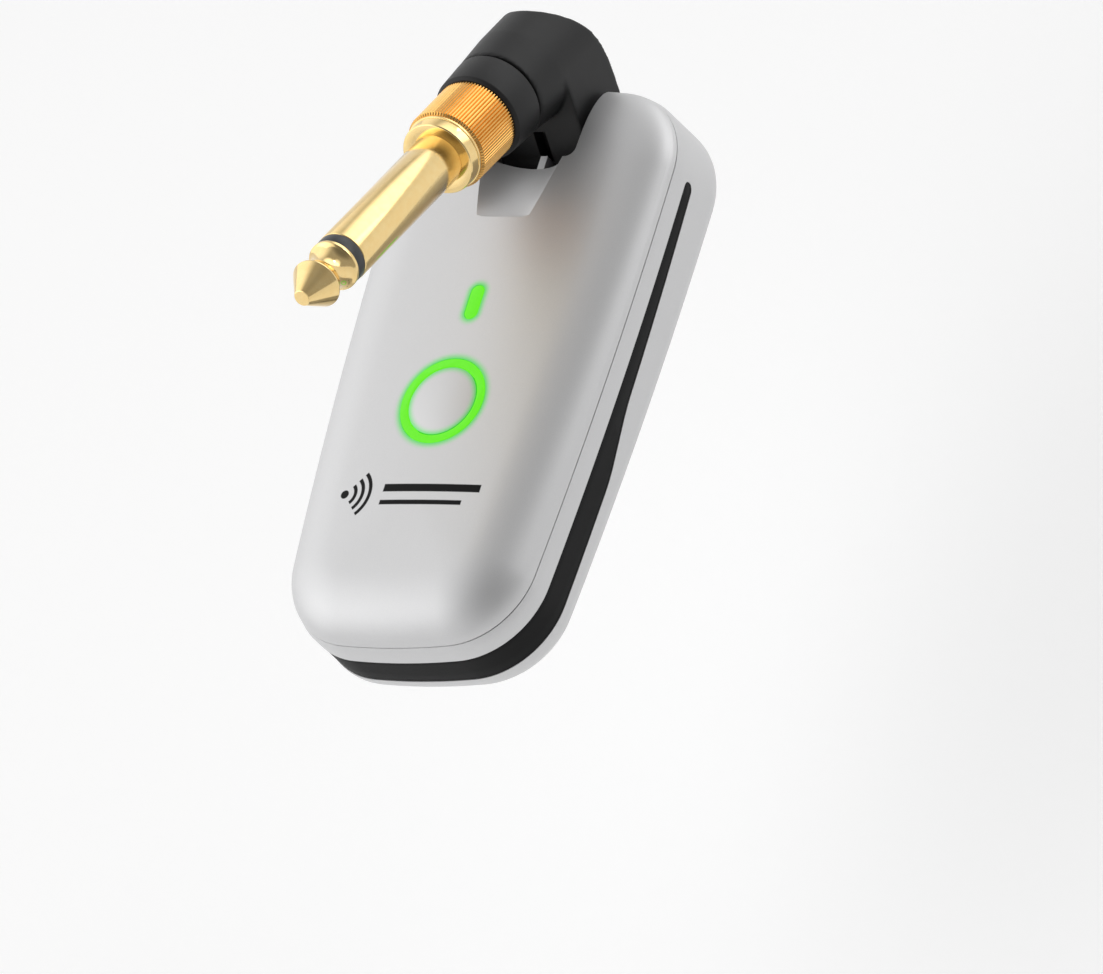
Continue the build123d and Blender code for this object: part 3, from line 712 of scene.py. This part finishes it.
def add_print(paint, base):
    """A plain black mark below the button: three radio-wave arcs from a dot, and two bars."""
    x, y, z = paint.along()
    mark_x, mark_y, fade = -9.5 * mm, -18.9 * mm, 0.06 * mm
    right = x - mark_x
    up = y - mark_y
    reach = (right ** 2.0 + up ** 2.0) ** 0.5
    wedge = paint.soft_step(right * 1.15 - abs(up), -fade, fade)
    mark = paint.soft_step(reach, 0.55 * mm + fade, 0.55 * mm - fade)
    for radius in (1.5, 2.5, 3.5):
        line = abs(reach - radius * mm)
        mark = mark.math("MAXIMUM", wedge * paint.soft_step(line, 0.24 * mm + fade, 0.24 * mm - fade))
    for middle, half, bar_up, thick in ((2.4, 6.6, 0.75, 0.5), (1.4, 5.6, -1.15, 0.3)):
        inside_x = abs(x - middle * mm) - half * mm
        inside_y = abs(up - bar_up * mm) - thick * mm
        mark = mark.math("MAXIMUM", paint.soft_step(inside_x.math("MAXIMUM", inside_y), fade, -fade))
    mark = mark * (z > (front - 2.0) * mm)
    paint.set(Base_Color=paint.mix(mark, base, (0.002, 0.002, 0.002, 1)))


cover_paint = silver_paint("silver_cover_paint")
# Painted green light from the lit ring and bar on the cover's coat.
add_painted_green_light(cover_paint, cover_paint.colour(), 0.5)
add_print(cover_paint, cover_paint.colour())
finish_piece(cover, "front_cover_painted", cover_paint.material, "case", ["front_cover"],
             edge=0.1, crease=cover_crease)


# ---- Lit ring, lit bar and button -------------------------------------------------------------
# The ring and the bar are clear acrylic light guides with a green glow, pushed in from behind and
# flush with the coat. The button is a disc, coated like the casing, that slides inside the ring.

glow_green = Finish("lit_green", (0.01, 0.05, 0.005), 0.3, Emission_Strength=1.0, Specular_IOR_Level=0.15)
haze = glow_green.noise(2500.0, 2.0)
glow_green.set(Emission_Color=glow_green.mix(haze, (0.13, 0.80, 0.018, 1), (0.155, 0.86, 0.024, 1)))

guide_top = front + 0.01
guide = disc_block("ring_outer", button_y, ring_radius, guide_top - 3.0, guide_top)
carve(guide, disc_block("ring_flange", button_y, ring_radius + 1.0, guide_top - 2.6, guide_top - 1.9), "UNION")
carve(guide, disc_block("ring_inner", button_y, ring_radius - ring_width, guide_top - 5, guide_top + 1))
finish_piece(guide, "ring_light_lit", glow_green.material, "case", ["ring_light_guide"],
             edge=0.04)
bar = bar_block("bar_lit", 0.0, guide_top - 2.2, guide_top)
finish_piece(bar, "bar_light_lit", glow_green.material, "case", ["bar_light_lens"],
             edge=0.04)

button_paint = silver_paint("silver_button_paint")
# Painted green light from the lit ring on the button's coat.
add_painted_green_light(button_paint, button_paint.colour(), 0.5)
button_radius = ring_radius - ring_width - 0.1
button_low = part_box("power_button")[0].z / mm
button = disc_block("button_cap", button_y, button_radius, front - 3.9, guide_top)
carve(button, disc_block("button_skirt", button_y, button_radius + 0.78, front - 3.9, front - 3.1), "UNION")
carve(button, disc_block("button_stem", button_y, 1.2, button_low, front - 3.8, 48), "UNION")
finish_piece(button, "power_button_painted", button_paint.material, "button", ["power_button"],
             edge=0.08)


# ---- Plug: gold-plated tip, sleeve, washer and knurled collar ----------------------------------
# Brass parts turned on a lathe, polished and gold plated. A dark ring of acetal insulates the tip
# from the sleeve. The collar is knurled for grip, with a stepped washer in front of it.

plug_mount = frame["record"]["mounts"][1]
plug_dir = Vector(plug_mount["axis"])
arm_dir = Vector((0, -plug_dir.z, plug_dir.y)) * -1
shoulder = Vector(plug_mount["pos_m"]) / mm - plug_dir * plug_mount["dims"]["length_mm"] / 2
sleeve_radius = plug_mount["dims"]["r_mm"]
sleeve_length = 22.5
insulator_end = 24.0
tip_end = 31.8


def plug_point(along, up, side=0.0):
    """A point from its distance along the plug from the shoulder, up the arm, and to the right."""
    return shoulder + plug_dir * along + arm_dir * up + Vector((side, 0, 0))


def turned(name, profile, steps=128, closed=True):
    """A turned piece: a half profile of (along, radius) points, spun round the plug's axis."""
    shape = bmesh.new()
    verts = [shape.verts.new(plug_point(along, radius)) for along, radius in profile]
    pairs = zip(verts, verts[1:] + verts[:1]) if closed else zip(verts, verts[1:])
    edges = [shape.edges.new(pair) for pair in pairs]
    bmesh.ops.spin(shape, geom=verts + edges, cent=shoulder, axis=plug_dir, angle=2 * math.pi,
                   steps=steps, use_merge=True)
    return loose_object(name, shape)


def arc_points(centre, radius, start, end, steps):
    """Points of an arc in a half profile, angles in degrees from the plug's direction."""
    angles = [math.radians(start + (end - start) * step / steps) for step in range(steps + 1)]
    return [(centre[0] + radius * math.cos(a), centre[1] + radius * math.sin(a)) for a in angles]


def gold_plate(name, roughness, deep=(0.90, 0.63, 0.26, 1), bright=(0.94, 0.73, 0.36, 1)):
    """Polished gold plate: faint lathe lines round the axis and a slight haze."""
    gold = Finish(name, deep[:3], roughness, metallic=1.0)
    haze = gold.noise(1200.0, 3.0)
    fine = gold.noise(16000.0, 2.0)
    gold.set(Roughness=roughness + 0.05 * haze,
             Base_Color=gold.mix(haze, deep, bright))
    gold.bump(fine, 0.03, 0.00001)
    return gold.material


gold = gold_plate("gold_polished", 0.10)

sleeve = turned("sleeve", [
    (-18.0, 2.0), (-18.0, 2.9), (0.0, 2.9), (0.0, sleeve_radius), (sleeve_length - 0.1, sleeve_radius),
    (sleeve_length, sleeve_radius - 0.1), (sleeve_length, 2.0),
])
finish_piece(sleeve, "plug_sleeve_gold", gold, "plug_arm", ["plug_sleeve"], edge=0.03)

tip_waist = 2.1
waist_start, waist_end = insulator_end + 0.65, 28.3
waist_middle = (waist_start + waist_end) / 2
bulge, rise = circle_through(Vector((waist_start, 2.92)), Vector((waist_middle, tip_waist)),
                             Vector((waist_end, 3.04)))
start_angle = math.degrees(math.atan2(2.92 - bulge.y, waist_start - bulge.x))
end_angle = math.degrees(math.atan2(3.04 - bulge.y, waist_end - bulge.x))
tip = turned("tip", [
    (26.0, 0.0), (26.0, 1.2), (insulator_end, 1.2), (insulator_end, sleeve_radius - 0.06),
    (insulator_end + 0.08, sleeve_radius), (insulator_end + 0.5, sleeve_radius),
    *arc_points(bulge, rise, start_angle, end_angle, 16), (waist_end + 0.18, 3.04),
    (tip_end, 1.0), (tip_end + 0.05, 0.9), (tip_end + 0.05, 0.0),
], closed=False)
finish_piece(tip, "plug_tip_gold", gold, "plug_arm", ["plug_tip"], edge=0.05)

dark_ring = Finish("insulator_black", (0.022, 0.023, 0.025), 0.32)
speck = dark_ring.noise(9000.0, 2.0)
dark_ring.set(Roughness=0.3 + 0.12 * speck,
              Base_Color=dark_ring.mix(speck, (0.016, 0.017, 0.019, 1), (0.035, 0.036, 0.04, 1)))
dark_ring.bump(speck, 0.1, 0.00001)
ring = turned("insulator", [
    (sleeve_length, 1.2), (sleeve_length, sleeve_radius - 0.05), (insulator_end, sleeve_radius - 0.05),
    (insulator_end, 1.2),
])
finish_piece(ring, "plug_insulator_dark", dark_ring.material, "plug_arm", ["plug_insulator_ring"],
             edge=0.03)

washer = turned("washer", [
    (-1.87, 2.95), (-1.87, 4.73), (-1.52, 4.73), (-1.52, 4.57), (-0.12, 4.57), (0.0, 4.45), (0.0, 2.95),
])
finish_piece(washer, "shoulder_washer_gold", gold, "plug_arm", ["shoulder_washer"],
             edge=0.03)

collar_low, collar_high = -9.16, -1.87
collar_radius = 5.05
knurl_count = 84
knurl_depth = 0.16


def knurl_ring(shape, along, shrink):
    """One ring of the knurl: a flat crest and a V groove for each ridge."""
    verts = []
    for ridge in range(knurl_count):
        for place, depth in ((0.0, 0.0), (0.42, 0.0), (0.71, knurl_depth)):
            angle = 2 * math.pi * (ridge + place) / knurl_count
            radius = min(collar_radius - shrink, collar_radius - depth)
            verts.append(shape.verts.new(plug_point(along, radius * math.cos(angle),
                                                    radius * math.sin(angle))))
    return verts


shape = bmesh.new()
rings = [knurl_ring(shape, collar_low, knurl_depth + 0.03), knurl_ring(shape, collar_low + 0.12, 0.0),
         knurl_ring(shape, collar_high - 0.28, 0.0), knurl_ring(shape, collar_high, 0.3)]
join_rings(shape, rings)
collar = loose_object("collar", shape)
carve(collar, turned("collar_bore", [(collar_low - 1, 0.0), (collar_low - 1, 2.95), (collar_high + 1, 2.95),
                                     (collar_high + 1, 0.0)], closed=False))
# The collar's gold is a darker, more orange copy of the same plating: painted shade and orange reflection in the
# knurl.
shaded_knurl_gold = gold_plate("gold_knurl_painted_shade", 0.14, (0.72, 0.38, 0.10, 1), (0.82, 0.48, 0.15, 1))
finish_piece(collar, "knurled_collar_gold", shaded_knurl_gold, "plug_arm", ["knurled_collar"])


# ---- Elbow and nose ring ----------------------------------------------------------------------
# Glass-filled nylon, satin black. The elbow is a drum round the plug's axis that runs into a flat
# arm, and the arm ends in the barrel that turns between the ears. The nose ring is a separate
# collar in front of it, with a fine shadow line between the two.

elbow_black = Finish("elbow_black", (0.012, 0.012, 0.0125), 0.4, Specular_IOR_Level=0.32)
cell = elbow_black.noise(5000.0, 3.0)
cloud = elbow_black.noise(500.0, 2.0)
elbow_black.set(Roughness=0.40 + 0.12 * cell + 0.05 * cloud,
                Base_Color=elbow_black.mix(cell, (0.009, 0.009, 0.0094, 1), (0.016, 0.016, 0.0166, 1)))
elbow_black.bump(cell, 0.2, 0.00003)

nose_low, nose_high = -14.2, -9.16
nose = turned("nose", [
    (nose_high, 2.95), (nose_high, 5.15), (nose_high - 0.35, 5.5), (nose_low + 0.42, 5.71),
    (nose_low + 0.3, 5.6), (nose_low + 0.3, 5.35), (nose_low, 5.35), (nose_low, 2.95),
])
finish_piece(nose, "elbow_nose_ring_black", elbow_black.material, "plug_arm", ["elbow_nose_ring"],
             edge=0.06)

elbow_radius = 6.0
elbow_flare = 4.8
hinge_u, hinge_v = -24.0, -13.0
arm_front, arm_back = hinge_u + 4.6, hinge_u - 4.5
back_curve_radius = 15.0
back_curve_start = -5.0
barrel_radius = 4.9
barrel_half = half_notch - 0.4
blend_size = 0.2
blend_passes = 10

drum = turned("drum", [
    (nose_low, 0.0), (nose_low, 5.72), (nose_low - elbow_flare, elbow_radius),
    (arm_back - 1, elbow_radius), (arm_back - 1, 0.0),
], steps=96, closed=False)
shape = bmesh.new()
corners = [(arm_back, 0.0), (arm_back, hinge_v), (arm_front, hinge_v), (arm_front, 0.0)]
verts = [shape.verts.new(plug_point(u, v, -elbow_radius)) for u, v in corners]
slab_face = shape.faces.new(verts)
swept = bmesh.ops.extrude_face_region(shape, geom=[slab_face])
moved = [g for g in swept["geom"] if isinstance(g, bmesh.types.BMVert)]
bmesh.ops.translate(shape, vec=(2 * elbow_radius, 0, 0), verts=moved)
elbow = carve(drum, loose_object("slab", shape), "UNION")

shape = bmesh.new()
circle_middle = (arm_back + back_curve_radius, back_curve_start)
side_line = [(circle_middle[0] - back_curve_radius * math.cos(math.radians(a)),
              circle_middle[1] + back_curve_radius * math.sin(math.radians(a))) for a in range(0, 91, 5)]
side_line += [(0.0, circle_middle[1] + back_curve_radius), (0.0, hinge_v - 8), (arm_back, hinge_v - 8)]
verts = [shape.verts.new(plug_point(u, v, -9)) for u, v in side_line]
bmesh.ops.contextual_create(shape, geom=verts)
swept = bmesh.ops.extrude_face_region(shape, geom=shape.faces[:])
moved = [g for g in swept["geom"] if isinstance(g, bmesh.types.BMVert)]
bmesh.ops.translate(shape, vec=(18, 0, 0), verts=moved)
carve(elbow, loose_object("back_curve", shape), "INTERSECT")

shape = bmesh.new()
bmesh.ops.create_cone(shape, cap_ends=True, segments=96, radius1=barrel_radius, radius2=barrel_radius,
                      depth=2 * barrel_half,
                      matrix=Matrix.Translation(hinge_centre) @ Matrix.Rotation(math.pi / 2, 4, "Y"))
carve(elbow, loose_object("barrel", shape), "UNION")
blend = elbow.modifiers.new("blend", "REMESH")
blend.mode = "VOXEL"
blend.voxel_size = blend_size
soften = elbow.modifiers.new("soften", "SMOOTH")
soften.factor = 0.5
soften.iterations = blend_passes
bake_modifiers(elbow)

rib_slot = 0.475 + 0.35
shape = bmesh.new()
bmesh.ops.create_cone(shape, cap_ends=True, segments=64, radius1=9.8, radius2=9.8, depth=2 * rib_slot,
                      matrix=Matrix.Translation(hinge_centre) @ Matrix.Rotation(math.pi / 2, 4, "Y"))
slot_tool = loose_object("slot_disc", shape)
shape = bmesh.new()
bmesh.ops.create_cone(shape, cap_ends=True, segments=64, radius1=2.7, radius2=2.7, depth=4 * rib_slot,
                      matrix=Matrix.Translation(hinge_centre) @ Matrix.Rotation(math.pi / 2, 4, "Y"))
carve(slot_tool, loose_object("slot_core", shape))


def plug_block(name, low, high, half):
    """A block squared to the plug, between two (along, up) corners."""
    shape = bmesh.new()
    corners = ((low[0], low[1]), (high[0], low[1]), (high[0], high[1]), (low[0], high[1]))
    verts = [shape.verts.new(plug_point(u, v, -half)) for u, v in corners]
    swept = bmesh.ops.extrude_face_region(shape, geom=[shape.faces.new(verts)])
    moved = [g for g in swept["geom"] if isinstance(g, bmesh.types.BMVert)]
    bmesh.ops.translate(shape, vec=(2 * half, 0, 0), verts=moved)
    return loose_object(name, shape)


carve(slot_tool, plug_block("above_slot", (hinge_u - 12, hinge_v + 0.35), (hinge_u + 12, hinge_v + 15), 4))
carve(elbow, slot_tool)
carve(elbow, plug_block("front_slot", (arm_front - 1.6, hinge_v), (arm_front + 9, hinge_v + 5.4), rib_slot))
carve(elbow, turned("nut_space", [
    (nose_low + 1, 0.0), (nose_low + 1, 2.95), (nose_low - 1.5, 2.95), (nose_low - 1.5, 4.2),
    (nose_low - 5.8, 4.2), (hinge_u, 1.5), (hinge_u - 1.5, 0.0),
], steps=64, closed=False))
finish_piece(elbow, "plug_elbow_black", elbow_black.material, "plug_arm", ["plug_elbow"])


# ---- Pieces inside and at the hinge -----------------------------------------------------------
# The CAD pieces stay as they are and get their own finishes: plated steel pins, clips and screws,
# acetal bushes, the green board and its packages, the foil cell on its foam pad, and the leads.


def plain_finish(name, dark, bright, roughness, scale, metallic=0.0, bump=0.1):
    """A finish whose colour and gloss wander a little between two shades."""
    made = Finish(name, dark, roughness, metallic)
    wander = made.noise(scale, 3.0)
    made.set(Base_Color=made.mix(wander, (*dark, 1), (*bright, 1)), Roughness=roughness + 0.12 * wander)
    made.bump(wander, bump, 0.00002)
    return made.material


inner_finishes = (
    (plain_finish("plated_steel", (0.50, 0.50, 0.51), (0.66, 0.66, 0.67), 0.24, 4000.0, 1.0),
     ("hinge_pin_left", "hinge_pin_right", "friction_washer_left", "friction_washer_right",
      "retaining_clip_left", "retaining_clip_right", "board_screws", "plug_nut", "charging_port_shell")),
    (plain_finish("tin_shield", (0.58, 0.58, 0.57), (0.70, 0.70, 0.69), 0.34, 2500.0, 1.0),
     ("radio_shield",)),
    (plain_finish("natural_acetal", (0.72, 0.71, 0.67), (0.80, 0.79, 0.76), 0.4, 3000.0),
     ("hinge_bush_left", "hinge_bush_right", "tact_switch_stem", "rod_insulator_tube")),
    (plain_finish("solder_mask", (0.006, 0.075, 0.03), (0.012, 0.11, 0.05), 0.3, 1500.0),
     ("main_board",)),
    (plain_finish("package_black", (0.014, 0.014, 0.015), (0.026, 0.026, 0.028), 0.55, 6000.0),
     ("audio_chips", "tact_switch_body", "charging_port_tongue")),
    (plain_finish("fired_ceramic", (0.66, 0.62, 0.55), (0.76, 0.72, 0.66), 0.5, 5000.0),
     ("chip_antenna",)),
    (plain_finish("clear_resin", (0.70, 0.85, 0.62), (0.82, 0.94, 0.76), 0.2, 3000.0),
     ("status_leds",)),
    (plain_finish("foil_pouch", (0.60, 0.61, 0.63), (0.74, 0.75, 0.76), 0.32, 900.0, 0.9, 0.4),
     ("battery_cell",)),
    (plain_finish("foam_grey", (0.04, 0.04, 0.044), (0.09, 0.09, 0.095), 0.9, 3000.0, 0.0, 0.8),
     ("battery_foam_pad",)),
    (plain_finish("lead_black", (0.012, 0.012, 0.012), (0.022, 0.022, 0.022), 0.45, 5000.0),
     ("plug_lead", "board_lead")),
    (gold, ("tip_rod",)),
)
for finish, names in inner_finishes:
    for name in names:
        node = frame["nodes"][name]
        node.data.materials.clear()
        node.data.materials.append(finish)
